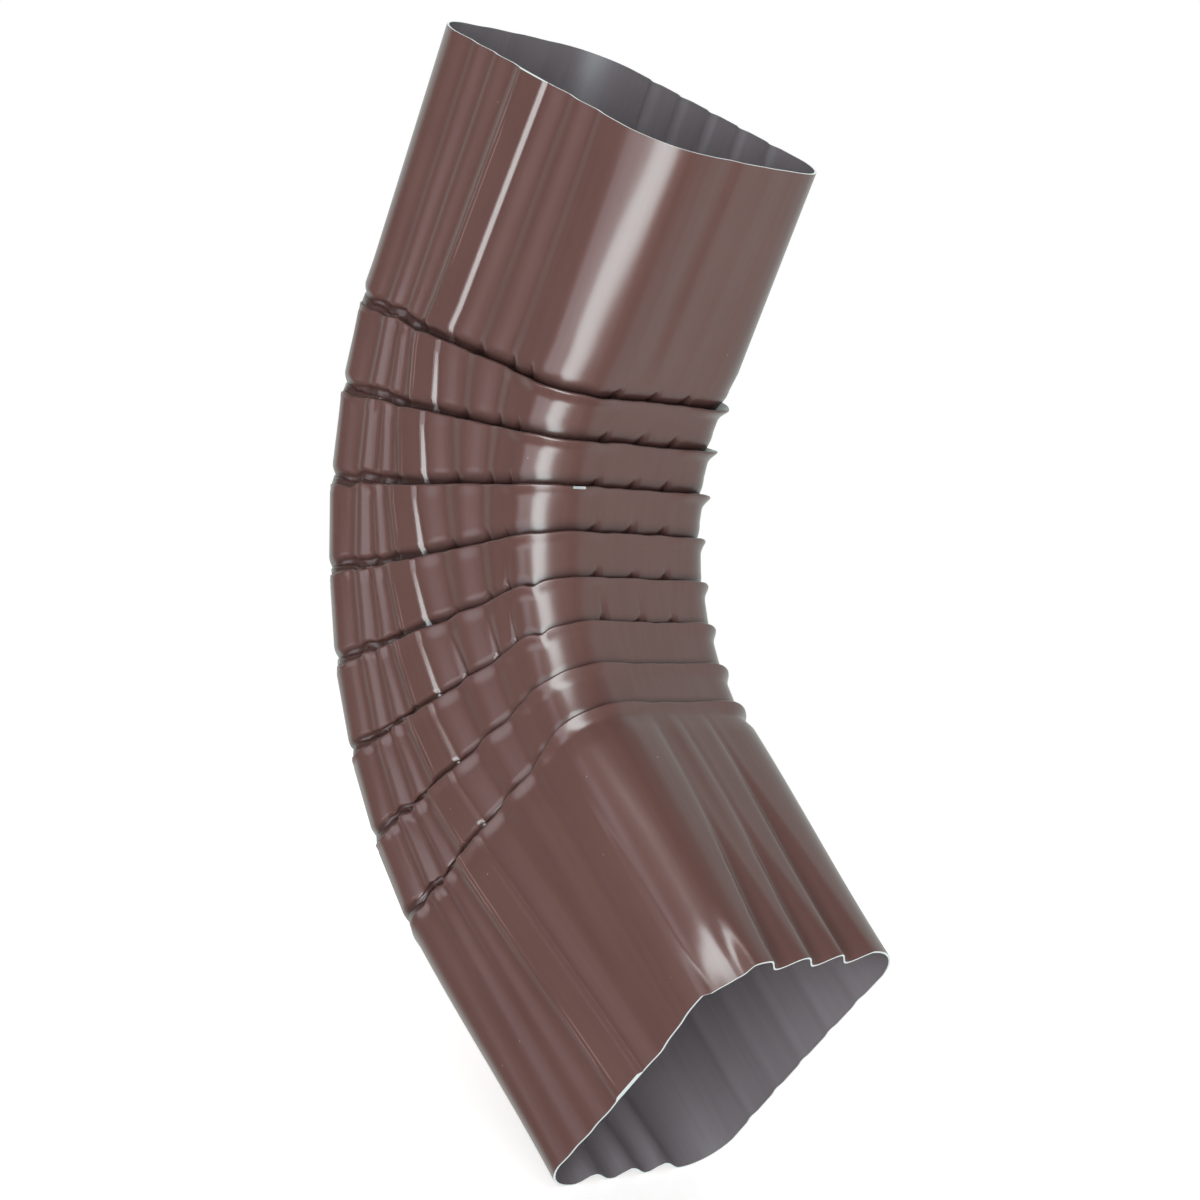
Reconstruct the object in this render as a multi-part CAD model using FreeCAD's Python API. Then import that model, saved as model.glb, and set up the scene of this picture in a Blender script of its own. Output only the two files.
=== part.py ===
"""Rectangular downspout elbow, folded from one painted aluminium sheet.

Millimetres, +Z up. The origin is the middle of the inlet mouth, and the inlet tube hangs straight down
from it. The elbow turns towards +X in the plane of its wide faces, so the outlet points down and to +X.
The heel is the outside of the bend (-X at the inlet), and the throat is the inside (+X). The lock seam
runs along the middle of the wide face on -Y.

The sheet is followed along lines from the mouth to the outlet, one for each station round the section.
Each line passes eight folds. A fold is a tuck of three layers, deepest at the throat, that opens to a
shallow notch at the heel, and that difference is what turns the tube.
"""
import FreeCAD, Part

import math
import os

# Section of the tube
width = 82.0                # outside, from heel to throat
depth = 54.0                # outside, from one wide face to the other
corner_radius = 11.5
corner_steps = 5            # flats round each corner
sheet = 0.5                 # thickness of the aluminium

# Run of the elbow, measured along the heel
inlet_length = 65.0         # from the mouth to the first fold
heel_pitch = 22.2           # from fold to fold
outlet_length = 70.5        # from the last fold to the crimped end
bend_angle = 70.0
fold_count = 8

# Folds
lip_lean = 3.3              # degrees that the lips rise towards the throat
lip_drop = 2.2              # how far down the tube a lip lies from the fold's corner on the heel
lip_stand = 0.9             # how far a ring's top edge stands proud of the tube, near the heel
throat_stand = 1.6          # and at the throat
heel_notch = 0.85           # how far the sheet is pressed in above a lip, at the heel
throat_notch = 1.4          # and at the throat
notch_height = 2.7          # from the bottom of the notch to the lip, at the heel
closed_pitch = 0.65         # from one layer to the next where the tuck is closed
open_pitch = 0.3            # the same at the heel, where it is open
closing = 0.3               # share of the width over which a tuck closes
tube_end = 2.5              # the straight tubes stop this far short of their fold
tuck_bends = 4              # bends of the sheet in one tuck

# Lengthwise flutes, spread evenly over the flat of each face
flute_width = 5.0
flute_depth = 1.1
wide_flutes = 5
narrow_flutes = 3
wide_margin = 6.0           # flat sheet from the outer flute to the corner, on a wide face
narrow_margin = 2.5         # and on a narrow one

# Lock seam, a flat hem of folded layers in the place of the middle flute of one wide face
seam_width = 7.6
seam_rise = 0.9
seam_edge = 0.4             # width of its rounded edge

# Open ends
mouth_bow = 3.0             # the narrow faces bulge this far at the mouth
crimp_depth = 3.2           # the flutes of the narrow faces deepen to this at the outlet
crimp_inset = 2.2           # and the narrow faces are drawn in, so that the end fits inside the next tube
outlet_pinch = 1.2          # the wide faces are drawn in at their middle

turn = math.radians(bend_angle / fold_count)


def direction(folds):
    """Unit vector down the tube after so many folds."""
    return FreeCAD.Vector(math.sin(folds * turn), 0, -math.cos(folds * turn))


def across(folds, lean=0.0):
    """Unit vector from heel to throat, square to the tube after so many folds, or leaning from that."""
    angle = folds * turn + math.radians(lean)
    return FreeCAD.Vector(math.cos(angle), 0, math.sin(angle))


class Station:
    """One place on the outline of the section, on the middle of the sheet's thickness."""

    def __init__(self, x, y, nx, ny, face="corner", flute=0.0, seam=0.0):
        self.x = x                      # from the middle of the section, towards the throat
        self.y = y
        self.nx = nx                    # outward normal
        self.ny = ny
        self.face = face
        self.flute = flute              # 1 at the bottom of a flute
        self.seam = seam                # 1 on top of the seam
        self.from_heel = x + width / 2

    def place(self, middle, across_tube, out):
        """The point that stands so far out from this station, in a section with the given middle."""
        point = middle + across_tube * (self.x + self.nx * out)
        return point + FreeCAD.Vector(0, self.y + self.ny * out, 0)


def face_stations(count, side, margin, station_at, with_seam=False):
    """Edge, bottom and edge of each flute across a face that is one side of the section."""
    flat = side - 2 * corner_radius
    flute_pitch = (flat - 2 * margin - flute_width) / (count - 1)
    found = []
    for number in range(count):
        middle = (number - (count - 1) / 2) * flute_pitch
        if with_seam and number == count // 2:
            half = seam_width / 2
            found.append(station_at(middle - half, 0.0, 0.0))
            found.append(station_at(middle - half + seam_edge, 0.0, 1.0))
            found.append(station_at(middle + half - seam_edge, 0.0, 1.0))
            found.append(station_at(middle + half, 0.0, 0.0))
        else:
            found.append(station_at(middle - flute_width / 2, 0.0, 0.0))
            found.append(station_at(middle, 1.0, 0.0))
            found.append(station_at(middle + flute_width / 2, 0.0, 0.0))
    return found


def corner_stations(cx, cy, start):
    """Points round one corner, from one face to the next."""
    radius = corner_radius - sheet / 2
    found = []
    for step in range(corner_steps + 1):
        angle = math.radians(start + 90 * step / corner_steps)
        nx = math.cos(angle)
        ny = math.sin(angle)
        found.append(Station(cx + radius * nx, cy + radius * ny, nx, ny))
    return found


def section_outline():
    """Stations right round the section: seam face, throat, plain wide face, heel."""
    half_x = (width - sheet) / 2
    half_y = (depth - sheet) / 2
    cx = width / 2 - corner_radius
    cy = depth / 2 - corner_radius
    wide = (wide_flutes, width, wide_margin)
    narrow = (narrow_flutes, depth, narrow_margin)
    outline = face_stations(*wide, lambda p, f, s: Station(p, -half_y, 0, -1, "wide", f, s), True)
    outline += corner_stations(cx, -cy, -90)
    outline += face_stations(*narrow, lambda p, f, s: Station(half_x, p, 1, 0, "narrow", f, s))
    outline += corner_stations(cx, cy, 0)
    outline += face_stations(*wide, lambda p, f, s: Station(-p, half_y, 0, 1, "wide", f, s))
    outline += corner_stations(-cx, cy, 90)
    outline += face_stations(*narrow, lambda p, f, s: Station(-half_x, -p, -1, 0, "narrow", f, s))
    outline += corner_stations(-cx, -cy, 180)
    return outline


def heel_points():
    """The mouth, each fold and the outlet's end, on the outside of the heel."""
    points = [FreeCAD.Vector(-width / 2, 0, 0)]
    lengths = [inlet_length] + [heel_pitch] * (fold_count - 1) + [outlet_length]
    for folds, length in enumerate(lengths):
        points.append(points[-1] + direction(folds) * length)
    return points


def fold_pitch(station):
    """Distance from fold to fold at a station, shorter towards the throat."""
    return heel_pitch - 2 * math.tan(turn / 2) * station.from_heel


def tuck(station):
    """The sheet's middle line through a fold, as (along, out) pairs measured from the fold's plane: two
    bends at the bottom of the pocket, then two at the lip."""
    share = station.from_heel / width
    closed = min(max(share, 0.0) / closing, 1.0)
    layers = open_pitch + (closed_pitch - open_pitch) * closed
    pocket = lip_drop + math.tan(turn / 2) * station.from_heel - notch_height * (1 - share)
    pressed = -heel_notch - (throat_notch - heel_notch) * share
    lip = (lip_stand + (throat_stand - lip_stand) * share) * closed
    return [(pocket, pressed), (pocket, pressed + layers), (lip_drop, lip - layers), (lip_drop, lip)]


def sheet_line(station):
    """The middle line from tube to tube with the folds laid out flat, as (fold, along, out)."""
    bends = tuck(station)
    line = [(1, min(bends[0][0], lip_drop) - tube_end, 0.0)]
    for fold in range(1, fold_count + 1):
        for along, out in bends:
            line.append((fold, along, out))
    line.append((fold_count, lip_drop + tube_end, 0.0))
    return line


def skin_line(station, distance):
    """The same line moved square to itself with mitred corners."""
    pitch = fold_pitch(station)
    line = sheet_line(station)
    flat = [(fold * pitch + along, out) for fold, along, out in line]
    flat = [(flat[0][0] - 1, flat[0][1])] + flat + [(flat[-1][0] + 1, flat[-1][1])]
    moved = []
    for number, (fold, along, out) in enumerate(line):
        before, here, after = flat[number:number + 3]
        first = unit_normal(before, here)
        second = unit_normal(here, after)
        sum_along = first[0] + second[0]
        sum_out = first[1] + second[1]
        scale = 2 * distance / (sum_along ** 2 + sum_out ** 2)
        moved.append((fold, along + sum_along * scale, out + sum_out * scale))
    return moved


def unit_normal(a, b):
    """Outward normal of the stretch from a to b, both (along, out)."""
    length = math.hypot(b[0] - a[0], b[1] - a[1])
    return (a[1] - b[1]) / length, (b[0] - a[0]) / length


def end_point(station, heel, folds, skin, narrow_depth):
    """A station's point on a skin at the mouth or the outlet."""
    out = skin * sheet / 2
    if skin > 0:
        out += station.seam * seam_rise
    across_tube = across(folds)
    if station.face == "narrow":
        out -= station.flute * narrow_depth
    else:
        out -= station.flute * flute_depth
    if folds == 0:
        if station.face == "narrow":
            out += mouth_bow * (1 - (2 * station.y / depth) ** 2)
    else:
        out -= crimp_inset * abs(station.nx)
        if station.face == "wide":
            out -= outlet_pinch * (1 - (2 * station.x / width) ** 2)
    return station.place(heel + across_tube * (width / 2), across_tube, out)


def bend_point(station, heels, number, bend, last, skin):
    """A station's point on a skin at one bend of its line."""
    fold, along, out = bend
    fold_across = across(fold - 0.5, lip_lean) * (1 / math.cos(turn / 2))
    corner = heels[fold] + fold_across * station.from_heel
    at_tube = number in (0, last)
    folds = fold - 0.5
    if number == 0:
        folds = 0
    elif number == last:
        folds = fold_count
    if station.face == "wide" or at_tube:
        out -= station.flute * flute_depth
    shows = at_tube or number % tuck_bends == 0
    if skin > 0 and shows:
        out += station.seam * seam_rise
    point = corner + direction(folds) * along + across(folds) * (station.nx * out)
    return point + FreeCAD.Vector(0, station.y + station.ny * out, 0)


def skin_rows(outline, heels, skin):
    """Rows of points right round one skin, from the mouth to the outlet: 1 is the outside, -1 the inside."""
    lines = [skin_line(station, skin * sheet / 2) for station in outline]
    last = len(lines[0]) - 1
    rows = [[end_point(station, heels[0], 0, skin, flute_depth) for station in outline]]
    for number in range(last + 1):
        row = []
        for station, line in zip(outline, lines):
            row.append(bend_point(station, heels, number, line[number], last, skin))
        rows.append(row)
    rows.append([end_point(station, heels[-1], fold_count, skin, crimp_depth) for station in outline])
    return rows


def facet(a, b, c):
    """One flat triangle of the sheet's skin."""
    return Part.Face(Part.makePolygon([a, b, c, a]))


def strip(upper, lower):
    """The skin between two rows, two facets to each station."""
    facets = []
    for number in range(len(upper)):
        a = upper[number - 1]
        b = upper[number]
        c = lower[number - 1]
        d = lower[number]
        facets.append(facet(a, b, d))
        facets.append(facet(a, d, c))
    return facets


def make_elbow():
    """Outer skin from mouth to outlet, inner skin back to the mouth, and the cut edges between them."""
    outline = section_outline()
    heels = heel_points()
    rows = skin_rows(outline, heels, 1)
    rows += reversed(skin_rows(outline, heels, -1))
    facets = []
    for upper, lower in zip(rows, rows[1:] + rows[:1]):
        facets += strip(upper, lower)
    skin = Part.makeCompound(facets)
    skin.sewShape()
    return Part.Solid(skin)


os.makedirs("parts", exist_ok=True)
elbow = make_elbow()
print("faces", len(elbow.Faces), "volume", round(elbow.Volume), "valid", elbow.isValid())
elbow.exportStep("parts/elbow.step")
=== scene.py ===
# %% [markdown]
# # A folded downspout elbow
# A rainwater downspout turns from the gutter to the wall, and back again, with elbows like this one. It is
# one sheet of painted aluminium: rolled to a rectangular tube with flutes along it, locked along a seam,
# tucked eight times so that one side gets shorter than the other, and crimped at the lower end.
#
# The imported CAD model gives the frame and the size. This script makes one finer mesh of the same sheet,
# because the CAD solid has flat facets, and the eye reads sheet metal by the way that light runs over it.

import math

import bmesh
import bpy
from mathutils import Matrix, Quaternion, Vector, noise


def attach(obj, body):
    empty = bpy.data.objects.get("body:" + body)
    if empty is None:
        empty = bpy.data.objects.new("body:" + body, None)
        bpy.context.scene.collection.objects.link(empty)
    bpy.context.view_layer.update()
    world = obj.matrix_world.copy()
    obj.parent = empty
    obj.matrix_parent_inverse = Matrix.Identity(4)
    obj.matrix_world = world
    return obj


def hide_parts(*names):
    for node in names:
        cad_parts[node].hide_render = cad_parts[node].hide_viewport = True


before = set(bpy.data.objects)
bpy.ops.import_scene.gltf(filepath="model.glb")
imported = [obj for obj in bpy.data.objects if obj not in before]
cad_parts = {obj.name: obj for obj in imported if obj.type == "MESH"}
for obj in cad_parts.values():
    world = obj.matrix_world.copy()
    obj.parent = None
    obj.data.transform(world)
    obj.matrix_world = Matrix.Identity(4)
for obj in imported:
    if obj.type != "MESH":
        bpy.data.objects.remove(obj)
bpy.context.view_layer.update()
MM = 0.001

# %% [markdown]
# ## Sizes
# All sizes are in millimetres, and the mesh is scaled to metres at the end. The origin is the middle of the
# inlet mouth, +Z points up out of the mouth, and the elbow bends towards +X. The side towards +X is the
# throat of the bend, the other narrow side is its heel, and the lock seam is on the wide face at -Y.

# %% Sizes of the sheet
WIDTH = 82.0               # of the tube, from heel to throat
DEPTH = 54.0               # from one wide face to the other
CORNER = 11.5              # radius of the tube's corners
SHEET = 0.5                # thickness

INLET = 65.0               # from the mouth to the first fold, along the heel
PITCH = 22.2               # from fold to fold along the heel
OUTLET = 70.5              # from the last fold to the outlet's rim
FOLDS = 8
TURN = math.radians(70.0 / FOLDS)

LIP_DROP = 2.2             # from a fold's corner on the heel down to the lip
LIP_LEAN = math.radians(3.3)
NOTCH_HEIGHT = 2.7         # from the bottom of the notch to the lip, at the heel
NOTCH_HEEL = 0.85          # how far the sheet is pressed in above a lip at the heel
LIP_STAND = 0.3            # how far a lip stands proud of the tube on its flats
LIP_FLARE = 0.45           # and how much more at its corners
RING_SINK = 0.6            # how far a ring's face lies inside the tube's face, at the throat's corners
DIVE = 1.6                 # how far the sheet from above has gone in where it passes behind a lip
SHOULDER = 2.2             # from a lip down to where the ring's face begins
LAYER = 0.65               # from one layer to the next in a closed tuck
CLOSING = 0.3              # share of the width over which a tuck closes

FLUTE_IN = 6.0             # a flute falls gently over this width
FLUTE_OUT = 3.4            # and rises over this in a steep ramp, towards the throat or the plain face
RAMP_ROUND = 0.35          # how far the ramp is rounded at its ends
PLAIN_WIDTH = 4.8          # the flutes of the plain face are narrower and even
PLAIN_DEPTH = 1.1
PLAIN_FLUTES = (-21.0, -10.5, 0.0, 10.5, 21.0)
SEAM_LEFT = -5.0           # edges of the lock seam's strip
SEAM_RIGHT = 2.7
SEAM_RISE = 0.85
SEAM_STEP = 2.0            # over which it rises on the heel's side
SEAM_SLOPE = 0.75          # and falls, as a bright chamfer, on the throat's side
SEAM_AT_LIP = 0.6          # share of its rise that is left on a lip and the ring's face below it
CRACK_OFF = 0.25           # the crack at the chamfer's foot, how far past it
CRACK_WIDE = 0.6
CRACK_DEPTH = 0.4          # as a share of the seam's rise

SLIDE_WIDTH = 56.0         # the middle of the seam face slides towards the heel, most at the seam
SLIDE_AT_FOLD = 3.5        # at the end of the inlet tube and of each ring
SLIDE_AT_LIP = 6.3         # at the top of each ring and of the outlet tube

MOUTH_BOW = 3.4            # the narrow faces bulge at the mouth
CRIMP_INSET = 2.2          # the narrow faces are drawn in at the outlet's rim
OUTLET_PINCH = 1.2         # and the wide faces at their middle
print("elbow:", FOLDS, "folds turn", round(math.degrees(TURN * FOLDS)), "degrees")

# %% [markdown]
# ## The run of the elbow
# Along the heel the folds lie on a chain of straight runs, each turned a little more than the one before.
# Everything else is measured from that chain: down the tube, across it from heel to throat, and out from
# its face.


# %% Directions and the heel
def down(folds):
    """Down the tube after so many folds."""
    return Vector((math.sin(folds * TURN), 0, -math.cos(folds * TURN)))


def across(folds, lean=0.0):
    """From heel to throat after so many folds."""
    return Vector((math.cos(folds * TURN + lean), 0, math.sin(folds * TURN + lean)))


heel = [Vector((-WIDTH / 2, 0, 0))]
for folds, length in enumerate([INLET] + [PITCH] * (FOLDS - 1) + [OUTLET]):
    heel.append(heel[-1] + down(folds) * length)
print("outlet's heel corner in mm:", [round(v, 1) for v in heel[-1]])

# %% [markdown]
# ## Round the section
# The mesh follows the sheet along many lines side by side. Each starts at a station on the outline of the
# section: a point, the way that it faces, and how far along its face it lies. Stations are closest where
# the seam's edges need them.


# %% Stations
def smooth(low, high, value):
    """0 below low, 1 above high, and an even curve between them."""
    t = min(max((value - low) / (high - low), 0.0), 1.0)
    return t * t * (3 - 2 * t)


def mix(a, b, t):
    """From a at 0 to b at 1."""
    return a + (b - a) * t


CORNER_REACH = 7.0         # the corner's stiffness is felt this far across the flats


class Station:
    """One place on the outline. Along a corner, along_face is an angle in degrees."""

    def __init__(self, x, y, nx, ny, face, along_face, flat=0.0):
        self.x = x
        self.y = y
        self.nx = nx                               # the way that it faces
        self.ny = ny
        self.face = face
        self.along_face = along_face
        self.share = (x + WIDTH / 2) / WIDTH       # 0 at the heel, 1 at the throat
        self.bend = 1.0 - smooth(0.0, CORNER_REACH, flat - abs(along_face)) if flat else 1.0


def spread(low, high, step):
    """Even places from low to just short of high, about a step apart."""
    count = max(1, round((high - low) / step))
    return [low + (high - low) * n / count for n in range(count)]


THROAT_PACE = 0.8          # from station to station on the throat's face
HEEL_PACE = 1.5
PLAIN_PACE = 2.6           # between the flutes of the plain face
PLAIN_FLUTE_PACE = 0.96    # and in them


def outline():
    """Stations right round: seam face, throat, plain face, heel and the corners between them."""
    half_x = (WIDTH - SHEET) / 2
    half_y = (DEPTH - SHEET) / 2
    cx = WIDTH / 2 - CORNER
    cy = DEPTH / 2 - CORNER
    radius = CORNER - SHEET / 2
    foot = SEAM_RIGHT + SEAM_SLOPE
    found = []
    # On the seam face: where each pace starts, and the pace. It is finest on the chamfer and at the nips.
    paces = [
        (-cx, 1.2), (SEAM_LEFT - SEAM_STEP, 0.7), (SEAM_LEFT, 1.4), (SEAM_RIGHT - 0.25, 0.23),
        (foot + 0.7, 1.2), (9.4, 0.55), (11.6, 1.2), (19.0, 0.55), (21.2, 1.3), (26.0, 0.6)]
    ends = [start for start, pace in paces[1:]] + [cx]
    for (low, pace), high in zip(paces, ends):
        found += [Station(p, -half_y, 0, -1, "seam", p, cx) for p in spread(low, high, pace)]

    def corner(x, y, start, flats):
        for angle in spread(start, start + 90, 90 / flats):
            nx = math.cos(math.radians(angle))
            ny = math.sin(math.radians(angle))
            found.append(Station(x + radius * nx, y + radius * ny, nx, ny, "corner", angle))

    corner(cx, -cy, -90, flats=18)
    found.extend(Station(half_x, p, 1, 0, "throat", p, cy) for p in spread(-cy, cy, THROAT_PACE))
    corner(cx, cy, 0, flats=12)
    edges = [-cx]
    for middle in PLAIN_FLUTES:
        edges += [middle - PLAIN_WIDTH / 2, middle + PLAIN_WIDTH / 2]
    edges.append(cx)
    for number, (low, high) in enumerate(zip(edges, edges[1:])):
        in_flute = number % 2 == 1
        pace = PLAIN_FLUTE_PACE if in_flute else PLAIN_PACE
        found.extend(Station(-p, half_y, 0, 1, "plain", -p, cx) for p in spread(low, high, pace))
    corner(-cx, cy, 90, flats=9)
    found.extend(Station(-half_x, -p, -1, 0, "heel", -p, cy) for p in spread(-cy, cy, HEEL_PACE))
    corner(-cx, -cy, 180, flats=10)
    return found


stations = outline()
print("stations round the section:", len(stations))

# %% [markdown]
# ## Flutes, seam and ends
# The flutes stiffen the sheet, and the seam locks its two edges together. They could be cut in with loops
# and bevels, but they are only small moves of the sheet outwards or inwards. As smooth functions of the
# place, they let the paint's reflection run over them without a break.


# %% Small forms across the face
def groove(distance, width):
    """1 at the middle of a smooth dip, falling to 0 at its edges."""
    if abs(distance) >= width / 2:
        return 0.0
    return 0.5 + 0.5 * math.cos(2 * math.pi * distance / width)


def flute(distance):
    """The same for a rolled flute: it falls gently on one side and rises in a steep ramp on the other."""
    if distance < 0:
        return groove(distance, 2 * FLUTE_IN)
    left = 1 - min(distance / FLUTE_OUT, 1.0)
    return mix(left, smooth(0.0, 1.0, left), RAMP_ROUND)


# Place and depth of each flute. Places are measured towards the throat or the plain face.
FLUTES = {
    "seam": ((-25.6, 0.7), (-17.6, 0.85), (-9.8, 0.7), (10.5, 0.8), (20.1, 0.75)),
    "throat": ((-7.0, 0.5), (1.8, 0.18), (10.5, 0.22)),
    "heel": ((-10.5, 0.5), (0.0, 0.5), (10.5, 0.5))}
# Share of the depth that the flutes have on the rings between the folds
ON_RINGS = {"seam": 1.25, "plain": 0.8, "throat": 0.12, "heel": 0.7}
SWELL = 0.9                # the corner beside the seam face swells this far
SWELL_ANGLE = -70          # most at this angle round the corner
SWELL_WIDE = 92            # and over so many degrees


def fluting(station):
    """How far in the flutes of a face go at this station."""
    if station.face == "plain":
        return PLAIN_DEPTH * max(groove(station.along_face - p, PLAIN_WIDTH) for p in PLAIN_FLUTES)
    depths = [depth * flute(station.along_face - p) for p, depth in FLUTES.get(station.face, ())]
    return max(depths, default=0.0)


def swell(station):
    """The corner beside the seam face swells towards that face."""
    if station.face == "seam":
        angle = -90 - math.degrees((WIDTH / 2 - CORNER - station.along_face) / CORNER)
    elif station.face == "corner" and -90 <= station.along_face < 0:
        angle = station.along_face
    else:
        return 0.0
    return SWELL * groove(angle - SWELL_ANGLE, SWELL_WIDE)


def slid(station, slide):
    """Where a station lies across the tube when the seam face has slid so far towards the heel."""
    if station.face != "seam":
        return station.x
    return station.x - slide * groove(station.along_face, SLIDE_WIDTH)


def seam(station):
    """1 on top of the lock seam, with a small crack at the foot of its chamfer."""
    if station.face != "seam":
        return 0.0
    place = station.along_face
    rise = smooth(SEAM_LEFT - SEAM_STEP, SEAM_LEFT, place)
    fall = min(max((place - SEAM_RIGHT) / SEAM_SLOPE, 0.0), 1.0)
    crack = groove(place - SEAM_RIGHT - SEAM_SLOPE - CRACK_OFF, CRACK_WIDE)
    return min(rise, 1 - fall) - CRACK_DEPTH * crack


print("flutes on the seam face:", len(FLUTES["seam"]), "on the plain face:", len(PLAIN_FLUTES))

# %% [markdown]
# ## One line of the sheet through the folds
# Each station's line is a chain of corners, as (down the tube, out from its face): in under the lip, round
# the bottom of the pocket, back up to the lip, round it, and down over the ring's shoulder. Near the heel
# the pocket opens to a shallow notch. The corners are then rounded, each with the same number of points, so
# that neighbouring lines match row by row.


# %% How a lip wanders
KINKED_FOLDS = (5, 6)      # whose lips are kinked at the corner beside the seam face
KINK_ANGLE = -62.0
KINK_DROP = 0.9
KINK_WIDE = 7.0            # in degrees
SLOW_SIZE = 5.0            # of the slow waves along a lip
QUICK_SIZE = 1.9           # and of the quick ones


def ripple(station, fold):
    """How far a lip wanders down or up from its plane. The fold's number moves the noise on, so that no two
    lips are alike."""
    near_heel = 1 - smooth(0.15, 0.6, station.share)
    slow = noise.noise(Vector((station.x / SLOW_SIZE, station.y / SLOW_SIZE, fold * 7.3)))
    quick = noise.noise(Vector((station.x / QUICK_SIZE, station.y / QUICK_SIZE, fold * 5.1 + 40)))
    found = slow * mix(0.3, 0.8, near_heel) + quick * mix(0.08, 0.4, near_heel)
    if fold in KINKED_FOLDS and station.face == "corner":
        found += KINK_DROP * math.exp(-((station.along_face - KINK_ANGLE) / KINK_WIDE) ** 2)
    return found


print("lip 1 wanders", round(ripple(stations[0], 1), 2), "mm near the heel")

# %% The corners of one fold
FLARED_FOLDS = (1, 2, 3)   # whose lips stand out sharply at the far corner
FAR_FLARE = 2.4            # and by how many times more
CLEAN_FROM = 3.5           # the folds get cleaner from here
CLEAN_TO = 6.5             # to here, counted down the tube
DIVE_CLEAN = 1.2           # how far in the sheet is behind the lip of a clean fold
DIVE_STARTS = 2.8          # how far above a lip the sheet starts to go in
DIVE_STARTS_CLEAN = 1.5
DIVE_STARTS_OPEN = 2.1     # the same at the heel, where the pocket is open
DIVE_ROUND = 2.1           # radius of the bend where it starts
DIVE_ROUND_CLEAN = 1.1
OPEN_LAYER = 0.3           # from one layer to the next at the heel
BEHIND_LIP = 1.9           # the dive ends this far above the ring's shoulder
SHARP = 0.3                # radius of the sheet's sharpest bends


def fold_corners(station, fold):
    """(down, out, radius, rows) for each corner of a fold, and how far down the lip is. All are measured
    from the fold's plane."""
    share = min(max(station.share, 0.0), 1.0)
    closed = smooth(0.0, CLOSING, station.share)
    at = LIP_DROP + ripple(station, fold)
    depth = math.tan(TURN / 2) * WIDTH * station.share - NOTCH_HEIGHT * (1 - share)
    far_corner = station.x > 0 and station.y > 0
    flare = FAR_FLARE if fold in FLARED_FOLDS and far_corner else 1.0
    lip = closed * (LIP_STAND + LIP_FLARE * station.bend * flare)
    face = -RING_SINK * share * mix(0.4, 1.0, station.bend)
    layer = mix(OPEN_LAYER, LAYER, closed)
    clean = smooth(CLEAN_FROM, CLEAN_TO, fold)
    starts = mix(DIVE_STARTS_OPEN, mix(DIVE_STARTS, DIVE_STARTS_CLEAN, clean), closed)
    dive = mix(DIVE, DIVE_CLEAN, clean)
    shoulder = min(SHOULDER, depth * 0.5)
    first = shoulder if depth > 0 else depth - 0.3
    bottom = mix(-NOTCH_HEEL, face - 2 * layer - 0.2, closed)
    before = 0.0 if fold == 1 else face
    corners = [
        # The sheet starts to go in, and then stands behind the lip
        (at + min(depth, 0.0) - starts, before, mix(DIVE_ROUND, DIVE_ROUND_CLEAN, clean), 5),
        (at + first - mix(0.0, BEHIND_LIP, closed), mix(-0.8 * NOTCH_HEEL, -dive, closed), 0.7, 3),
        # Round the bottom of the pocket, and up to the ring's shoulder
        (at + depth, bottom, SHARP, 2),
        (at + depth, bottom + layer, SHARP, 2),
        (at + shoulder, mix(-0.5 * NOTCH_HEEL, face - layer, closed), 0.5, 2),
        # Round the lip, and down to the ring's face
        (at, lip - layer, SHARP, 2),
        (at, lip, SHARP, 4),
        (at + mix(1.0, SHOULDER, closed), face, 1.2, 4),
    ]
    return corners, at


def chain(station):
    """The whole line as (fold, part of the fold, lip's place, down, out, radius, rows)."""
    found = []
    for fold in range(1, FOLDS + 1):
        corners, at = fold_corners(station, fold)
        found += [(fold, part, at) + corner for part, corner in enumerate(corners)]
    return found


print("corners in one line:", len(chain(stations[0])))


# %% Rounding the corners
RUN_ON = 6                 # the tubes go on at least this far above the first corner and below the last
MOST_CUT = 0.45            # a corner takes at most this share of the runs beside it


def fold_pitch(station):
    """From fold to fold at a station, shorter towards the throat."""
    return PITCH - 2 * math.tan(TURN / 2) * WIDTH * station.share


def rounded(station):
    """Points of the line, as (fold, part, above the lip, down, out, normal down, normal out)."""
    pitch = fold_pitch(station)
    corners = chain(station)
    flat = [(fold * pitch + d, out) for fold, part, at, d, out, radius, rows in corners]
    flat = [(flat[0][0] - RUN_ON, 0.0)] + flat + [(flat[-1][0] + RUN_ON, 0.0)]
    points = []
    for n, (fold, part, at, d, out, radius, rows) in enumerate(corners):
        a, b, c = (Vector(p) for p in flat[n:n + 3])
        back = a - b
        on = c - b
        cut = min(radius, back.length * MOST_CUT, on.length * MOST_CUT)
        start = b + back.normalized() * cut
        end = b + on.normalized() * cut
        for row in range(rows):
            t = row / (rows - 1)
            here = start * (1 - t) ** 2 + b * 2 * t * (1 - t) + end * t ** 2
            way = (b - start) * (1 - t) + (end - b) * t
            normal = Vector((-way.y, way.x)).normalized()
            d_here = here.x - fold * pitch
            points.append((fold, part, at - d_here, d_here, here.y, normal.x, normal.y))
    return points


lines = [rounded(station) for station in stations]
print("rows through the folds:", len(lines[0]))

# %% [markdown]
# ## Nips and crumples
# Where a flute runs into a fold it has nowhere to go, and the press nips it to a small dark wedge above the
# lip. Near the heel, where the tuck stays open, the sheet is crumpled instead. Sculpting could give both,
# but as small dips of the same rows they keep the mesh even.

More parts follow.
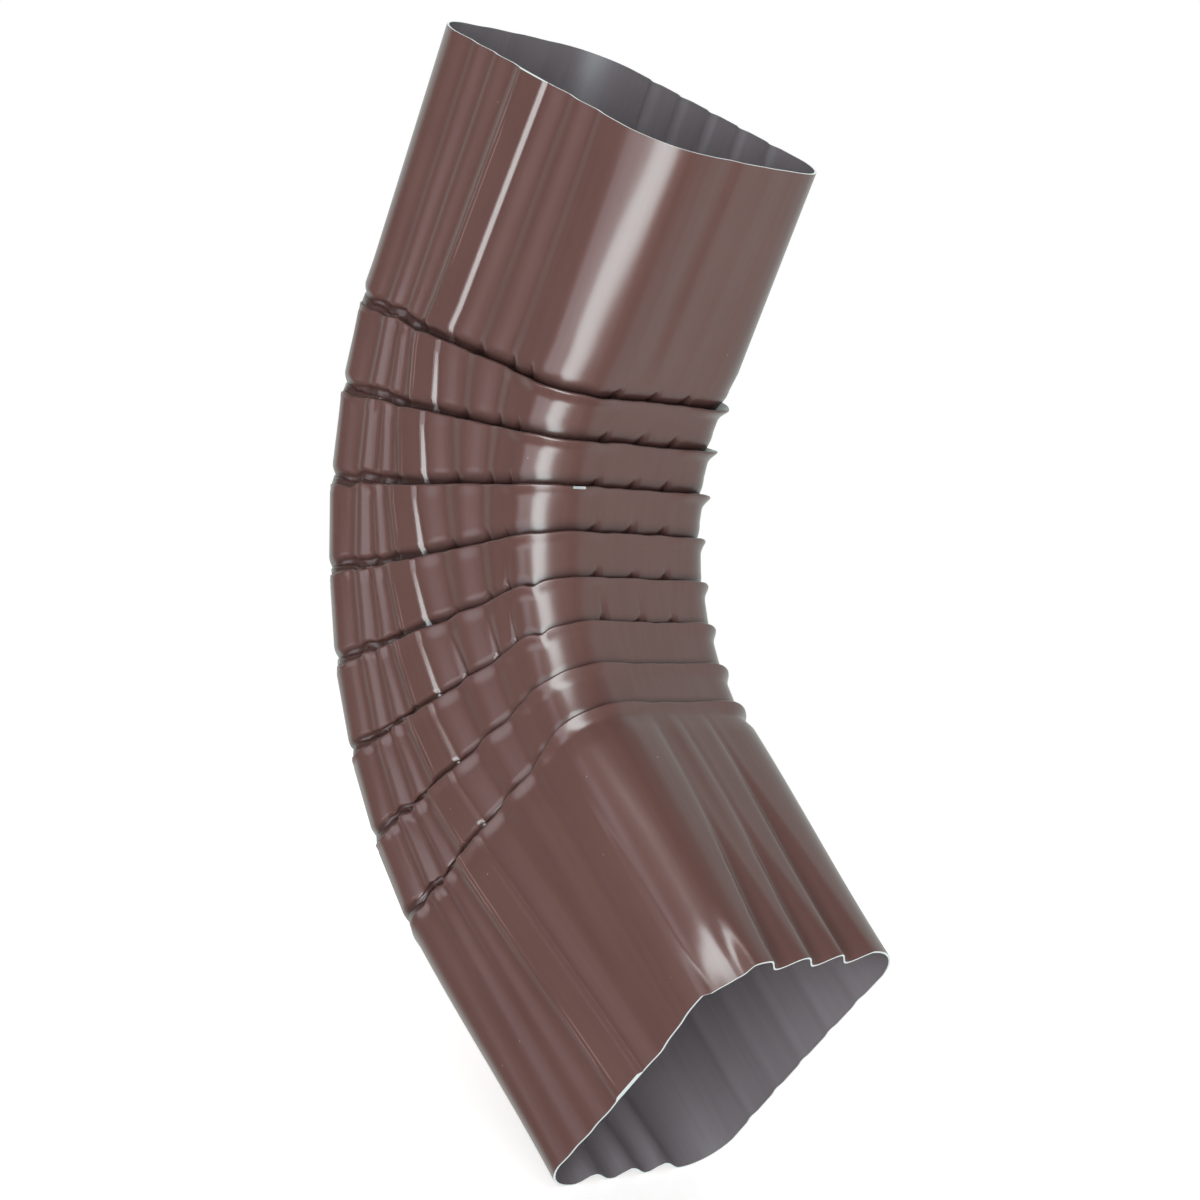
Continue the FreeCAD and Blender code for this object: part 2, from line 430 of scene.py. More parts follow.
# %% Nips and crumples
# Places of the nips on each face, measured as the flutes are
NIPS = {"seam": (10.5, 20.1, 27.1), "plain": (10.5, 20.1, 27.1), "throat": (-12.2, -1.3, 8.6)}
NIP_TALL = 3.4             # above the lip, give or take a quarter
NIP_WIDE = 3.0
NIP_POINT = 0.9            # how wide a nip is at its upper end
NIP_DEPTH = 2.0
NIP_TILT = 0.3             # how far it leans, for each millimetre of its height
NIP_BELOW = -1.5           # it goes on this far below the lip, out of sight
NIPPED_FOLDS = 6           # the lowest folds are pressed cleanly
CRUMPLE = 0.45


def nip(station, above, fold):
    """How deep the sheet is nipped in at this place above a lip."""
    deepest = 0.0
    for place in NIPS.get(station.face, ()):
        tall = NIP_TALL * (1 + 0.5 * noise.noise(Vector((place, fold * 3.7, 4.0))))
        if fold <= NIPPED_FOLDS and NIP_BELOW < above < tall:
            left = 1 - max(above, 0.0) / tall
            off = station.along_face - place - NIP_TILT * above
            deepest = max(deepest, NIP_DEPTH * left * groove(off, mix(NIP_POINT, NIP_WIDE, left)))
    return deepest


def crumple(station, above, fold):
    """The uneven sheet beside an open notch."""
    near = (1 - smooth(0.25, 0.5, station.share)) * (1 - smooth(1.5, 4.0, abs(above)))
    if near == 0.0:
        return 0.0
    place = Vector((station.x / 2.2, station.y / 2.2, fold * 3.1 + above / 2.5))
    return CRUMPLE * near * noise.noise(place)


print("nips above one lip:", sum(len(places) for places in NIPS.values()))

# %% [markdown]
# ## From lines to places
# A point of the line becomes a place on the elbow: from the fold's corner on the heel across to the
# station, then down the tube and out from its face.


# %% Places
# How far the seam face has slid at each corner of a fold: the change is hidden in the pocket
SLIDES = [mix(SLIDE_AT_FOLD, SLIDE_AT_LIP, step / 4) for step in (0, 0, 1, 2, 3, 4, 4, 4)]


def fold_place(station, point, skin):
    """Where a point of the line through the folds lies on a skin: 1 is the outside, -1 the inside."""
    fold, part, above, d, out, normal_down, normal_out = point
    half = skin * SHEET / 2
    d += normal_down * half
    out += normal_out * half - fluting(station) * ON_RINGS.get(station.face, 0.0)
    out += crumple(station, above, fold) + swell(station)
    if part <= 1:
        out -= nip(station, above, fold)
    if skin > 0:
        share = SEAM_AT_LIP if part >= 6 else 1.0
        out += seam(station) * SEAM_RISE * smooth(0.3, 0.8, normal_out) * share
    folds = fold - 0.5
    x = slid(station, SLIDES[part])
    corner = heel[fold] + across(folds, LIP_LEAN) * ((x + WIDTH / 2) / math.cos(TURN / 2))
    place = corner + down(folds) * d + across(folds) * (station.nx * out)
    return place + Vector((0, station.y + station.ny * out, 0))


def tube_out(station, skin):
    """How far out a skin lies on the straight tubes."""
    out = skin * SHEET / 2 - fluting(station)
    if skin > 0:
        out += seam(station) * SEAM_RISE
    return out


def inlet_place(station, t, end_down, skin):
    """t is 0 at the mouth and 1 at the last row before the first fold."""
    bow = MOUTH_BOW * (1 - t) * max(0.0, 1 - (2 * station.y / DEPTH) ** 2)
    out = tube_out(station, skin) + bow * abs(station.nx) + swell(station) * smooth(0.0, 0.8, t)
    x = slid(station, SLIDE_AT_FOLD * t)
    return Vector((x + station.nx * out, station.y + station.ny * out, end_down * t))


first_place = inlet_place(stations[0], 0.0, -INLET, 1)
print("first station at the mouth in mm:", [round(v, 1) for v in first_place])

# %% [markdown]
# ## The crimped end
# The outlet has to slip inside the next tube, so its narrow faces are crimped: three creases start as fine
# lines and widen to saw teeth at the rim, a sharp fall and then a long rise. The wide faces stay smooth,
# pinched a little at their middle, and the corner beside the seam face has a dent.

# %% Crimps
# Each tooth's place at the last fold and at the rim, and where it starts, as a share of the way
TEETH = ((-8.5, -11.6, 0.3), (-1.5, -0.6, 0.35), (7.0, 9.4, 0.02))
TOOTH_FALL = 3.6           # widths and depth at the rim
TOOTH_RISE = 6.8
TOOTH_DEPTH = 2.9
LINE_FALL = 0.9            # and where it starts, as a fine line
LINE_RISE = 1.6
LINE_DEPTH = 0.25
PAST_RIM = 1.15            # the teeth would be fully grown a little past the rim
BULGE = 1.6                # the seam face swells towards its corner
BULGE_AT = 25.0
BULGE_WIDE = 34
CURL = 2.4                 # how far the corner beside the seam face curls in at the rim
CURL_ANGLE = -62
CURL_WIDE = 90
CREASE = 0.9               # depth of the crease where the dent ends
CREASE_ANGLE = -38.0


def crimps(station, t):
    """How far in the crimps of a narrow face go."""
    if station.face not in ("throat", "heel"):
        return 0.0
    deepest = 0.0
    for upper, lower, start in TEETH:
        grown = smooth(start, PAST_RIM, t) / smooth(start, PAST_RIM, 1.0)
        off = station.along_face - mix(upper, lower, t)
        fall = 1 - smooth(0.0, mix(LINE_FALL, TOOTH_FALL, grown), -off)
        rise = 1 - smooth(0.0, mix(LINE_RISE, TOOTH_RISE, grown), off)
        deepest = max(deepest, mix(LINE_DEPTH, TOOTH_DEPTH, grown) * (fall if off < 0 else rise))
    return deepest * smooth(0.0, 0.06, t)


def dent(station, t):
    """The corner beside the seam face curls in at the rim, up to a crease."""
    if station.face != "corner" or not -90 <= station.along_face < 0:
        return 0.0
    curl = CURL * smooth(0.8, 1.0, t) * groove(station.along_face - CURL_ANGLE, CURL_WIDE)
    near = smooth(CREASE_ANGLE - 20, CREASE_ANGLE, station.along_face)
    past = smooth(CREASE_ANGLE, CREASE_ANGLE + 14, station.along_face)
    return curl + CREASE * smooth(0.72, 0.95, t) * near * (1 - past)


def outlet_place(station, t, start_down, skin):
    """t is 0 at the last row of the folds and 1 at the rim."""
    flat = smooth(0.0, 1.0, t)
    out = tube_out(station, skin)
    fading = 1.0 if station.face in ("throat", "heel") else 0.5      # the flutes fade towards the rim
    out += fluting(station) * flat * fading
    out += swell(station) * (1 - smooth(0.0, 0.5, t))
    out -= crimps(station, t) + dent(station, t)
    out -= CRIMP_INSET * flat * abs(station.nx)
    out -= OUTLET_PINCH * flat * max(0.0, 1 - (2 * station.x / WIDTH) ** 2) * abs(station.ny)
    if station.face == "seam":
        out += BULGE * flat * groove(station.along_face - BULGE_AT, BULGE_WIDE)
    along = mix(start_down, OUTLET, t)
    middle = heel[FOLDS] + down(FOLDS) * along + across(FOLDS) * (WIDTH / 2)
    place = middle + across(FOLDS) * (slid(station, SLIDE_AT_LIP * (1 - t)) + station.nx * out)
    return place + Vector((0, station.y + station.ny * out, 0))


print("teeth on each narrow face:", len(TEETH))

# %% [markdown]
# ## The two skins
# The places are worked out row by row, once for the outside of the sheet and once for its inside. The
# lengths along the outside, round the mouth and down each line, are kept for a map of the flat sheet.

# %% Rows of the two skins
INLET_ROWS = 12
OUTLET_ROWS = 24


def skin_rows(skin):
    """Rows of places from the mouth to the outlet's rim, on the outside (1) or the inside (-1)."""
    folded = []
    for row in range(len(lines[0])):
        folded.append([fold_place(s, line[row], skin) for s, line in zip(stations, lines)])
    starts = [(place - heel[FOLDS]).dot(down(FOLDS)) for place in folded[-1]]
    rows = []
    for row in range(INLET_ROWS):
        t = row / INLET_ROWS
        rows.append([inlet_place(s, t, end.z, skin) for s, end in zip(stations, folded[0])])
    rows += folded
    for row in range(1, OUTLET_ROWS + 1):
        t = row / OUTLET_ROWS
        rows.append([outlet_place(s, t, start, skin) for s, start in zip(stations, starts)])
    return rows


outside = skin_rows(1)
inside = skin_rows(-1)
around = [0.0]
for one, two in zip(outside[0], outside[0][1:] + outside[0][:1]):
    around.append(around[-1] + (two - one).length)
along = [[0.0] * len(stations)]
for upper, lower in zip(outside, outside[1:]):
    along.append([done + (b - a).length for done, a, b in zip(along[-1], upper, lower)])
print("rows in a skin:", len(outside), "round the mouth:", round(around[-1]), "mm")

# %% [markdown]
# ## Painted shade in the folds
# The paint is darkened where the sheet dives behind a lip, and in the nips above it: painted shade that
# stands in for the shadow in these creases. It could be painted on an image, but the rows are so close there
# that a number on each vertex is enough. Each row of a fold has its share of painted shade, from the first
# row of the dive to the edge of the lip, and later the paint is darkened by it.

# %% Painted shade in the folds
# Painted shade: the share of darkening for each row of a fold, from the first row of the dive to the edge of
# the lip
SHADE_IN_FOLD = [0.0, 0.0, 0.1, 0.3, 0.6] + [1.0] * 12 + [0.6] + [0.0] * 6
HEEL_SHADE = 0.65           # share of it that is left at the heel


def row_shade(row):
    """Shares of painted shade for each station on one row of the outside: darker in the creases behind the
    lips and in the nips.
    """
    in_folds = row - INLET_ROWS
    if not 0 <= in_folds < len(lines[0]):
        return [0.0] * len(stations)
    painted_shade = SHADE_IN_FOLD[in_folds % len(SHADE_IN_FOLD)]
    found = []
    for station, line in zip(stations, lines):
        fold, part, above = line[in_folds][:3]
        # The nips above a lip get painted shade too, as deep as they are nipped
        nipped = nip(station, above, fold) / NIP_DEPTH if part <= 1 else 0.0
        found.append(max(painted_shade, nipped) * mix(HEEL_SHADE, 1.0, smooth(0.2, 0.55, station.share)))
    return found


# Painted shade for every row and station of the outside
painted_shade = [row_shade(row) for row in range(len(outside))]
print("rows with dirt:", sum(max(shares) > 0 for shares in painted_shade))

# %% [markdown]
# ## Making the mesh
# One skin with a Solidify modifier would be quicker, but the seam shows on the outside only, and the tucks
# need exact room between their layers. So both skins are set. A ring of vertices is extruded row by row,
# down the outside and back up the inside, and the last ring is joined to the first across the cut edge at
# the mouth. Each vertex remembers its station, so that an extruded ring can be set on its row.

# %% Extruding the sheet
PAINT, BACK, EDGE = 0, 1, 2


def set_row(verts, marks, number, row):
    """Puts a ring's vertices on a row of places, in metres."""
    for vert in verts:
        vert.co = row[vert[marks[0]]] * MM
        vert[marks[1]] = number


def make_sheet():
    mesh = bmesh.new()
    marks = mesh.verts.layers.int.new("station"), mesh.verts.layers.int.new("row")
    made = bmesh.ops.create_circle(mesh, cap_ends=False, segments=len(stations), radius=WIDTH * MM)
    for number, vert in enumerate(made["verts"]):
        vert[marks[0]] = number
    set_row(mesh.verts, marks, 0, outside[0])
    ring = list(mesh.edges)
    first_ring = ring
    last = len(outside) - 1
    rows = [(number, outside[number], PAINT) for number in range(1, last + 1)]
    rows.append((last, inside[last], EDGE))
    rows += [(number, inside[number], BACK) for number in range(last - 1, -1, -1)]
    for number, row, slot in rows:
        made = bmesh.ops.extrude_edge_only(mesh, edges=ring)["geom"]
        verts = [item for item in made if isinstance(item, bmesh.types.BMVert)]
        ring = [item for item in made if isinstance(item, bmesh.types.BMEdge)]
        set_row(verts, marks, number, row)
        for item in made:
            if isinstance(item, bmesh.types.BMFace):
                item.material_index = slot
                item.smooth = True
    bridge = bmesh.ops.bridge_loops(mesh, edges=first_ring + ring)
    for face in bridge["faces"]:
        face.material_index = EDGE
    bmesh.ops.recalc_face_normals(mesh, faces=mesh.faces)
    return mesh, marks


sheet, marks = make_sheet()
print("triangles:", len(sheet.faces) * 2, "open edges:", sum(edge.is_boundary for edge in sheet.edges))

# %% [markdown]
# The cut edges are flat and crisp, so the shading stops at their borders. A small chip in the paint on the
# third lip shows bare metal. The sheet also gets a map that unrolls it: across is the way round the tube,
# and up is the way along it, both in metres, so that the paint's streaks can follow the bends.

# %% Crisp edges, the chip and the sheet's map
CHIP_FOLD = 3
CHIP_ANGLES = (-22, -6)    # degrees round the corner, from its first to its last flat
ROWS_IN_FOLD = len(lines[0]) // FOLDS
ROWS_PAST_LIP = 7          # from the lip's outer edge to the fold's last row
CHIP_ROWS = 2
chip_row = INLET_ROWS + CHIP_FOLD * ROWS_IN_FOLD - ROWS_PAST_LIP

flat_map = sheet.loops.layers.uv.new("sheet")
for face in sheet.faces:
    numbers = [loop.vert[marks[0]] for loop in face.loops]
    rows = [loop.vert[marks[1]] for loop in face.loops]
    wraps = max(numbers) - min(numbers) > 1
    for loop, number, row in zip(face.loops, numbers, rows):
        turn_round = around[-1] if wraps and number == 0 else around[number]
        loop[flat_map].uv = (turn_round * MM, along[row][number] * MM)
    station = stations[min(numbers)]
    chipped = station.face == "corner" and CHIP_ANGLES[0] <= station.along_face <= CHIP_ANGLES[1]
    if chipped and face.material_index == PAINT and chip_row <= min(rows) < chip_row + CHIP_ROWS:
        face.material_index = EDGE
for edge in sheet.edges:
    kinds = {face.material_index for face in edge.link_faces}
    edge.smooth = len(kinds) == 1

# Each vertex keeps its share of painted shade, which darkens the paint in the creases and nips
crease_shade = sheet.verts.layers.float.new("fold_shade")
for vert in sheet.verts:
    vert[crease_shade] = painted_shade[vert[marks[1]]][vert[marks[0]]]

data = bpy.data.meshes.new("elbow_sheet")
sheet.to_mesh(data)
sheet.free()
elbow = bpy.data.objects.new("elbow_sheet", data)
bpy.context.scene.collection.objects.link(elbow)
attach(elbow, "root")
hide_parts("elbow")
print("faces of each finish:", [sum(face.material_index == slot for face in data.polygons)
                                for slot in (PAINT, BACK, EDGE)])

# %% [markdown]
# ## Finishes
# Each finish is a small tree of nodes. Colours are written as on a screen and turned to linear values,
# because the nodes count in light.


# %% Node helper
def linear(code):
    """An sRGB hex value as linear red, green, blue and alpha."""
    parts = [int(code[n:n + 2], 16) / 255 for n in (1, 3, 5)]
    return [p / 12.92 if p <= 0.04045 else ((p + 0.055) / 1.055) ** 2.4 for p in parts] + [1.0]


def add(tree, kind, settings=None, inputs=None):
    """Adds a node, sets its properties, and sets its sockets or links them to other nodes' sockets. In a
    colour Mix node the sockets are numbers: 0 is the share, 6 and 7 the colours, and 2 the result."""
    node = tree.nodes.new(kind)
    for name, value in (settings or {}).items():
        setattr(node, name, value)
    for name, value in (inputs or {}).items():
        if hasattr(value, "is_output"):
            tree.links.new(value, node.inputs[name])
        else:
            node.inputs[name].default_value = value
    return node


def material(name):
    """A new material with an empty tree."""
    made = bpy.data.materials.new(name)
    made.use_nodes = True
    made.node_tree.nodes.clear()
    return made, made.node_tree


def finish(tree, shader):
    """Links a shader to the surface."""
    output = tree.nodes.new("ShaderNodeOutputMaterial")
    tree.links.new(shader.outputs[0], output.inputs["Surface"])


# %% [markdown]
# The outside is a satin brown coil coat: paint baked on the flat strip before it was formed, so it has the
# faint lengthwise streaks of rolling, a fine orange peel, a few specks of dust, and rubbed pink lines where
# the forming rolls gripped it beside the seam. To the eye that is a soft, broad highlight on a plain brown.
# The inside is the thinner grey coat that coil makers put on the back. It is duller and slightly cloudy.

# %% Coil coats
def coil_coat(name, colour, darker, lighter, speck, roughness, clouds):
    made, tree = material(name)
    place = add(tree, "ShaderNodeTexCoord").outputs["Object"]
    flat = add(tree, "ShaderNodeUVMap", {"uv_map": "sheet"}).outputs["UV"]
    # Rolling streaks about 1.5 mm wide and 70 mm long
    laid = add(tree, "ShaderNodeMapping", inputs={"Vector": flat, "Scale": (1 / 0.0015, 1 / 0.07, 1.0)})
    streak = add(tree, "ShaderNodeTexNoise", {"noise_dimensions": "2D"}, {
        "Vector": laid.outputs[0], "Scale": 1.0, "Detail": 2.0, "Roughness": 0.55})
    # Clouds of 20 to 30 mm
    cloud = add(tree, "ShaderNodeTexNoise", inputs={"Vector": place, "Scale": 40.0, "Detail": 3.0})
    tint = add(tree, "ShaderNodeMapRange", inputs={
        "Value": streak.outputs["Fac"], "From Min": 0.3, "From Max": 0.7, "To Min": 0.0, "To Max": 1.0})
    drawn = add(tree, "ShaderNodeMix", {"data_type": "RGBA"}, {
        0: tint.outputs[0], 6: linear(darker), 7: linear(colour)})
    patch = add(tree, "ShaderNodeMapRange", inputs={
        "Value": cloud.outputs["Fac"], "From Min": 0.4, "From Max": 0.75, "To Min": 0.0, "To Max": clouds})
    base = add(tree, "ShaderNodeMix", {"data_type": "RGBA"}, {
        0: patch.outputs[0], 6: drawn.outputs[2], 7: linear(lighter)})
    # Dust of a third of a millimetre, one grain in a square of 9 mm or so
    dust = add(tree, "ShaderNodeTexVoronoi", inputs={"Vector": place, "Scale": 1 / 0.009})
    grain = add(tree, "ShaderNodeMapRange", inputs={
        "Value": dust.outputs["Distance"],
        "From Min": 0.017, "From Max": 0.028, "To Min": 1.0, "To Max": 0.0})
    dotted = add(tree, "ShaderNodeMix", {"data_type": "RGBA"}, {
        0: grain.outputs[0], 6: base.outputs[2], 7: linear(speck)})
    # Orange peel, with bumps of about 1.4 mm
    peel = add(tree, "ShaderNodeTexNoise", inputs={"Vector": place, "Scale": 1 / 0.0014, "Detail": 2.0})
    bump = add(tree, "ShaderNodeBump", inputs={
        "Height": peel.outputs["Fac"], "Strength": 0.05, "Distance": 0.0002})
    shader = add(tree, "ShaderNodeBsdfPrincipled", inputs={
        "Base Color": dotted.outputs[2], "Roughness": roughness,
        "IOR": 1.5, "Normal": bump.outputs["Normal"]})
    finish(tree, shader)
    return made, tree, shader, flat, dotted.outputs[2]


# %% Brown paint with rubbed lines
RUB_GAP = 1.1              # from one rubbed line to the other, in millimetres
brown, tree, shader, flat, painted = coil_coat(
    "brown_coil_coat", "#6D4D48", "#694945", "#72534E", "#9A8480", 0.28, 0.5)
seam_left = next(number for number, s in enumerate(stations) if s.along_face >= SEAM_LEFT - 0.4)
across_map = add(tree, "ShaderNodeSeparateXYZ", inputs={0: flat})
# The lines break up over stretches of about 20 mm
stretch = add(tree, "ShaderNodeMapping", inputs={"Vector": flat, "Scale": (600.0, 45.0, 1.0)})
broken = add(tree, "ShaderNodeTexNoise", {"noise_dimensions": "2D"}, {
    "Vector": stretch.outputs[0], "Scale": 1.0, "Detail": 1.0})
worn = add(tree, "ShaderNodeMapRange", inputs={
    "Value": broken.outputs["Fac"], "From Min": 0.5, "From Max": 0.6, "To Min": 0.0, "To Max": 0.6})
for shift in (0.0, RUB_GAP):
    off = add(tree, "ShaderNodeMath", {"operation": "SUBTRACT"}, {
        0: across_map.outputs["X"], 1: (around[seam_left] + shift) * MM})
    far = add(tree, "ShaderNodeMath", {"operation": "ABSOLUTE"}, {0: off.outputs[0]})
    # A line is about 0.3 mm wide
    line = add(tree, "ShaderNodeMapRange", inputs={
        "Value": far.outputs[0], "From Min": 0.00008, "From Max": 0.00026, "To Min": 1.0, "To Max": 0.0})
    share = add(tree, "ShaderNodeMath", {"operation": "MULTIPLY"}, {0: line.outputs[0], 1: worn.outputs[0]})
    painted = add(tree, "ShaderNodeMix", {"data_type": "RGBA"}, {
        0: share.outputs[0], 6: painted, 7: linear("#A68682")}).outputs[2]
# Painted shade: the paint is darkened towards a deep brown in the creases behind the lips and in the nips,
# where they lie in shadow
crease_shade = add(tree, "ShaderNodeAttribute", {"attribute_name": "fold_shade"}).outputs["Fac"]
crease_darkening = add(tree, "ShaderNodeMath", {"operation": "MULTIPLY"}, {0: crease_shade, 1: 0.8})
painted = add(tree, "ShaderNodeMix", {"data_type": "RGBA"}, {
    0: crease_darkening.outputs[0], 6: painted, 7: linear("#2C1E1C")}).outputs[2]
tree.links.new(painted, shader.inputs["Base Color"])
data.materials.append(brown)
print("nodes in the brown paint:", len(tree.nodes))

# %% [markdown]
# The rims and the chip are bare aluminium, cut by a shear. That leaves a bright, slightly burred edge
# without a clear reflection.

# %% Grey back coat and bare metal
data.materials.append(coil_coat("grey_back_coat", "#868085", "#807A7F", "#8C868B", "#A29DA2", 0.34, 0.8)[0])

made, tree = material("cut_aluminium_edge")
place = add(tree, "ShaderNodeTexCoord").outputs["Object"]
burr = add(tree, "ShaderNodeTexNoise", inputs={"Vector": place, "Scale": 1 / 0.0006, "Detail": 1.0})
bump = add(tree, "ShaderNodeBump", inputs={
    "Height": burr.outputs["Fac"], "Strength": 0.3, "Distance": 0.0001})
finish(tree, add(tree, "ShaderNodeBsdfPrincipled", inputs={
    "Base Color": linear("#F2F0F1"), "Metallic": 1.0,
    "Roughness": 0.42, "Normal": bump.outputs["Normal"]}))
data.materials.append(made)
print("finishes:", [made.name for made in data.materials])

# %% [markdown]
# ## Camera
# The camera stands where the picture was taken from. Its place, its turn and its lens come from points that
# show in the picture: the corners of the mouth, the ends of the folds and the rim of the outlet.

# %% Camera
EYE = Vector((451.24, -424.05, 92.91)) * MM
RIGHT = Vector((0.60343, 0.72830, 0.32471))
UP = Vector((-0.45144, -0.02365, 0.89199))
FOCAL_PIXELS = 2803.7
PICTURE = 1200             # its width in pixels
lens = bpy.data.cameras.new("camera")
lens.sensor_width = 36.0
lens.lens = lens.sensor_width * FOCAL_PIXELS / PICTURE
lens.clip_start = 0.01
camera = bpy.data.objects.new("camera", lens)
back = RIGHT.cross(UP)
camera.matrix_world = Matrix((
    (RIGHT.x, UP.x, back.x, EYE.x),
    (RIGHT.y, UP.y, back.y, EYE.y),
    (RIGHT.z, UP.z, back.z, EYE.z),
    (0, 0, 0, 1)))
bpy.context.scene.collection.objects.link(camera)
bpy.context.scene.camera = camera
bpy.context.scene.view_settings.view_transform = "Standard"
print("lens in mm:", round(lens.lens, 1))

# %% [markdown]
# ## Light
# Lamps are placed by the direction in which they stand, seen from the middle of the elbow, so that each can
# be moved round it with one number.


# %% Lamps, by the direction from the elbow
MIDDLE = Vector((34.7, 0.0, -104.7)) * MM


def toward(azimuth, elevation):
    """The direction at so many degrees round from +X, and so many above the level."""
    a = math.radians(azimuth)
    e = math.radians(elevation)
    return Vector((math.cos(e) * math.cos(a), math.cos(e) * math.sin(a), math.sin(e)))


def softbox(name, azimuth, elevation, distance, wide, high, power, lean=0.0):
    """A lamp of so many metres and watts, turned to the elbow. Lean turns its top clockwise, as seen from
    the elbow."""
    lamp = bpy.data.lights.new(name, "AREA")
    lamp.shape = "RECTANGLE"
    lamp.size = wide
    lamp.size_y = high
    lamp.energy = power
    holder = bpy.data.objects.new(name, lamp)
    way = toward(azimuth, elevation)
    holder.location = MIDDLE + way * distance
    turned = way.to_track_quat("Z", "Y") @ Quaternion((0, 0, 1), math.radians(lean))
    holder.rotation_euler = turned.to_euler()
    bpy.context.scene.collection.objects.link(holder)
    return holder


# %% [markdown]
# One softbox beside the camera lights the paint, a little from above, so that the sheet darkens where it
# turns in under a lip. What the gloss shows is shaped apart, as with the cards of a photo studio: a tall
# panel towards the throat and a dim bluish one to its left. The panels stay out of the diffuse light, and
# the softbox out of the gloss, so the brown stays as it is written. A second softbox fills the sides that
# the picture doesn't show.

# %% Softbox and panels
key = softbox("key_softbox", azimuth=-53, elevation=6, distance=1.2, wide=0.95, high=0.95, power=11)
key.visible_glossy = False
fill = softbox("fill_softbox", azimuth=140, elevation=12, distance=1.2, wide=0.95, high=0.95, power=7)
fill.visible_glossy = False
tall = softbox(
    "tall_panel", azimuth=-50, elevation=7, distance=1.15, wide=0.78, high=2.5, power=72, lean=25)
tall.visible_diffuse = False
tall.data.color = (0.8, 0.98, 1.0)
dim = softbox("dim_panel", azimuth=-92, elevation=-16, distance=1.25, wide=1.0, high=0.75, power=7)
dim.visible_diffuse = False
dim.data.color = (0.8, 0.9, 1.0)
print("lamps:", [lamp.name for lamp in (key, fill, tall, dim)])

# %% [markdown]
# The room is white for the camera. For diffuse light it is an even, weaker white. In the gloss it is a
# white wall behind the elbow, which goes dim towards the camera's side and at the ceiling, so that the paint
# stays dark between its highlights, as in a real studio.

# %% White studio
WALL_AZIMUTH = 111         # where the white wall is brightest
ROOM_LIGHT = 0.45          # strength of the even light
world = bpy.data.worlds.new("studio")
bpy.context.scene.world = world
world.use_nodes = True
tree = world.node_tree
tree.nodes.clear()
path = add(tree, "ShaderNodeLightPath")
way = add(tree, "ShaderNodeTexCoord").outputs["Generated"]
facing = add(tree, "ShaderNodeVectorMath", {"operation": "DOT_PRODUCT"}, {
    0: way, 1: toward(WALL_AZIMUTH, 0)})
wall = add(tree, "ShaderNodeMapRange", {"interpolation_type": "SMOOTHSTEP"}, {
    "Value": facing.outputs["Value"], "From Min": -0.05, "From Max": 0.28, "To Min": 0.12, "To Max": 1.0})
height = add(tree, "ShaderNodeSeparateXYZ", inputs={0: way})
ceiling = add(tree, "ShaderNodeMapRange", {"interpolation_type": "SMOOTHSTEP"}, {
    "Value": height.outputs["Z"], "From Min": 0.75, "From Max": 0.95, "To Min": 1.0, "To Max": 0.35})
level = add(tree, "ShaderNodeMath", {"operation": "MULTIPLY"}, {0: wall.outputs[0], 1: ceiling.outputs[0]})
backdrop = add(tree, "ShaderNodeBackground", inputs={
    "Color": linear("#F2FFFB"), "Strength": level.outputs[0]})
room = add(tree, "ShaderNodeBackground", inputs={"Color": linear("#FFFFFF"), "Strength": ROOM_LIGHT})
white = add(tree, "ShaderNodeBackground", inputs={"Color": linear("#FFFFFF"), "Strength": 1.0})
mirrored = add(tree, "ShaderNodeMath", {"operation": "MAXIMUM"}, {
    0: path.outputs["Is Glossy Ray"], 1: path.outputs["Is Transmission Ray"]})
seen = add(tree, "ShaderNodeMixShader", inputs={
    0: mirrored.outputs[0], 1: room.outputs[0], 2: backdrop.outputs[0]})
shown = add(tree, "ShaderNodeMixShader", inputs={
    0: path.outputs["Is Camera Ray"], 1: seen.outputs[0], 2: white.outputs[0]})
output = tree.nodes.new("ShaderNodeOutputWorld")
tree.links.new(shown.outputs[0], output.inputs["Surface"])
print("nodes in the studio:", len(tree.nodes))

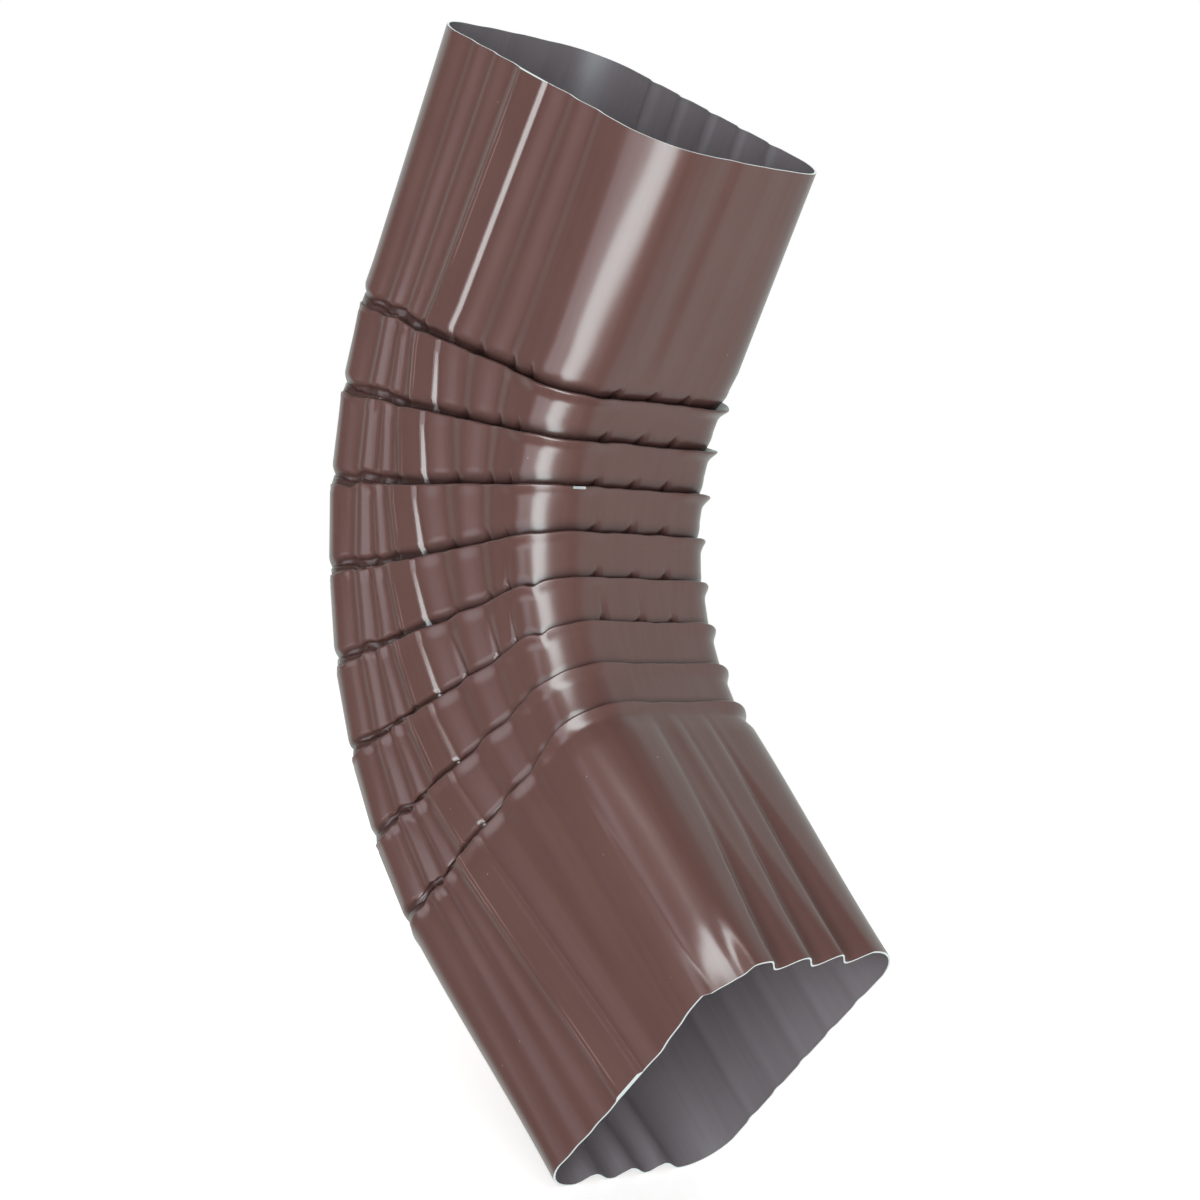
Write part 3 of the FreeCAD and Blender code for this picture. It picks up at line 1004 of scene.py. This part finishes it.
# %% [markdown]
# ## Floor
# The elbow stands on a plain pale floor with the lowest point of its outlet. The floor is lit as it is, and
# only for the camera it is lifted to white and fades into the white room, so that the soft shadow is all
# that shows of it. It stays out of the paint's gloss, as it does in the real picture.

# %% Floor
LOWEST = min(vert.co.z for vert in data.vertices)
FOOT = Vector((0.105, 0.0, LOWEST))      # below the outlet
FLOOR_RADIUS = 0.55
FADE_FROM = 0.1            # from the foot to where the floor starts to fade into the room
FADE_TO = 0.3              # and to where it ends
LIFT = 0.62                # how much the camera's view of it is lifted
disc = bmesh.new()
bmesh.ops.create_circle(disc, cap_ends=True, segments=96, radius=FLOOR_RADIUS)
bmesh.ops.translate(disc, verts=disc.verts, vec=FOOT)
floor_data = bpy.data.meshes.new("floor")
disc.to_mesh(floor_data)
disc.free()
floor = bpy.data.objects.new("floor", floor_data)
bpy.context.scene.collection.objects.link(floor)
floor.visible_glossy = False
print("floor at", round(LOWEST / MM, 1), "mm")

# %% White floor that keeps the shadow
made, tree = material("pale_studio_floor")
path = add(tree, "ShaderNodeLightPath")
place = add(tree, "ShaderNodeTexCoord").outputs["Object"]
away = add(tree, "ShaderNodeVectorMath", {"operation": "DISTANCE"}, {0: place, 1: FOOT})
fade = add(tree, "ShaderNodeMapRange", {"interpolation_type": "SMOOTHSTEP"}, {
    "Value": away.outputs["Value"], "From Min": FADE_FROM, "From Max": FADE_TO})
matte = add(tree, "ShaderNodeBsdfDiffuse", inputs={"Color": linear("#F4F3F2")})
lift = add(tree, "ShaderNodeEmission", inputs={"Strength": LIFT})
raised = add(tree, "ShaderNodeAddShader", inputs={0: matte.outputs[0], 1: lift.outputs[0]})
pure = add(tree, "ShaderNodeEmission", inputs={"Strength": 1.0})
blended = add(tree, "ShaderNodeMixShader", inputs={
    0: fade.outputs[0], 1: raised.outputs[0], 2: pure.outputs[0]})
chosen = add(tree, "ShaderNodeMixShader", inputs={
    0: path.outputs["Is Camera Ray"], 1: matte.outputs[0], 2: blended.outputs[0]})
finish(tree, chosen)
floor_data.materials.append(made)
